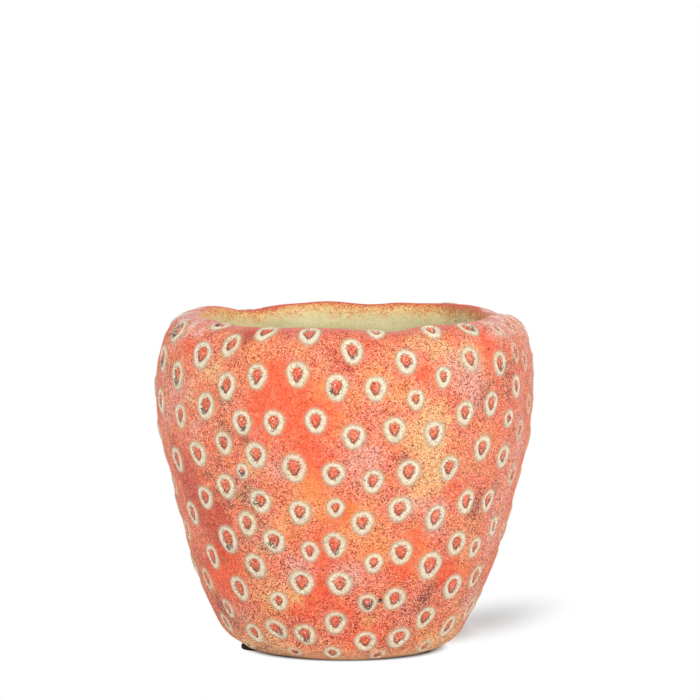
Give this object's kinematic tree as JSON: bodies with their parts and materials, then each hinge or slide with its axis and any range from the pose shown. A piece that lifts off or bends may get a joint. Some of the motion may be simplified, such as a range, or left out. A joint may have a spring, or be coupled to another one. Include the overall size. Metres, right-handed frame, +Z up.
{
  "type": "strawberry planter",
  "caption": "Strawberry-shaped cement planter with soft lobes, raised seed rims and a rolled wavy lip, a rubber drain plug and glued foot pads.",
  "frame": {"origin": "on the surface the planter stands on, under the middle of the pot", "axes": "+Z up along the pot's axis, -Y toward the front as pictured, +X to the right in the picture"},
  "size_m": [0.1905, 0.1913, 0.1707],
  "materials": {
    "cement": "matte",
    "seed_cream": "matte",
    "plug_rubber": "matte",
    "pad_foam": "matte"
  },
  "bodies": {
    "pot": {"pot_shell": "cement", "seed_rims": "seed_cream", "foot_pad_left": "pad_foam", "foot_pad_right": "pad_foam", "foot_pad_back": "pad_foam"},
    "plug": {"drain_plug": "plug_rubber"}
  },
  "joints": [
    {"name": "plug_lift", "type": "slide", "parent": "pot", "child": "plug", "axis": [0, 0, 1], "range_m": [0, 0.18]}
  ]
}
